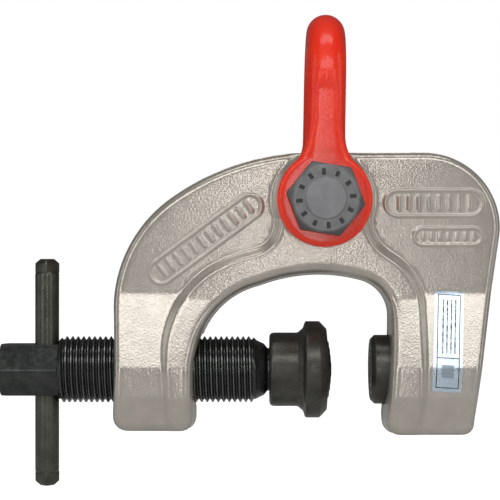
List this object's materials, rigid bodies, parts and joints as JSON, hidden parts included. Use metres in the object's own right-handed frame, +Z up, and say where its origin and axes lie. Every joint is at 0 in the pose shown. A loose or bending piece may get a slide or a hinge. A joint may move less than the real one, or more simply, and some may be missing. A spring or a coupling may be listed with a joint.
{
  "type": "plate lifting clamp",
  "caption": "Screw-type plate lifting clamp: forged C frame, clamping screw with sliding handle bar and swivelling toothed jaw, fixed toothed jaw, swinging shackle.",
  "frame": {"origin": "centre of the fixed jaw's gripping face", "axes": "+X from the swivel jaw into the fixed jaw along the clamping screw, +Z up from the jaws towards the shackle, -Y is the front with the label and the bolt head"},
  "size_m": [0.1811, 0.08, 0.1708],
  "materials": {
    "frame_paint": "silver-grey hammered paint on a drop forging",
    "jaw_steel": "black-oxide hardened steel",
    "black_steel": "black-oxide steel",
    "bar_steel": "black-oxide steel bar",
    "bolt_steel": "matte dark-grey phosphated steel",
    "bright_steel": "bright steel",
    "shackle_paint": "glossy red-orange paint",
    "label_foil": "printed foil sticker"
  },
  "bodies": {
    "clamp_frame": {"frame": "frame_paint", "fixed_jaw": "jaw_steel", "fixed_jaw_pin": "bright_steel", "label": "label_foil"},
    "thrust_point": {"thrust_ball": "bright_steel"},
    "clamping_screw": {"screw": "black_steel"},
    "handle": {"handle_bar": "bar_steel"},
    "jaw_retainer": {"snap_ring": "bright_steel"},
    "jaw_pad": {"swivel_jaw": "jaw_steel"},
    "bow": {"shackle": "shackle_paint", "shackle_bolt": "bolt_steel", "shackle_nut": "bolt_steel", "shackle_washer": "bright_steel", "split_pin": "bright_steel"}
  },
  "joints": [
    {"name": "shackle_swing", "type": "hinge", "parent": "clamp_frame", "child": "bow", "pos_m": [-0.0173, 0, 0.0612], "axis": [0, 1, 0], "range_deg": [-82, 71]},
    {"name": "screw_turn", "type": "hinge", "parent": "thrust_point", "child": "clamping_screw", "pos_m": [0, 0, 0], "axis": [1, 0, 0], "range_deg": [-3960, 2430]},
    {"name": "jaw_travel", "type": "slide", "parent": "clamp_frame", "child": "thrust_point", "axis": [1, 0, 0], "range_m": [-0.0221, 0.0136]},
    {"name": "bar_slide", "type": "slide", "parent": "clamping_screw", "child": "handle", "axis": [0, 0, 1], "range_m": [-0.025, 0.027]},
    {"name": "pad_spin", "type": "hinge", "parent": "thrust_point", "child": "jaw_retainer", "pos_m": [0, 0, 0], "axis": [1, 0, 0], "continuous": true},
    {"name": "pad_tilt", "type": "hinge", "parent": "jaw_retainer", "child": "jaw_pad", "pos_m": [-0.0275, 0, 0], "axis": [0, 1, 0], "range_deg": [-5, 5]}
  ],
  "couplings": [
    {"joint": "jaw_travel", "follows": "screw_turn", "m_per_rad": 0.00031831}
  ]
}
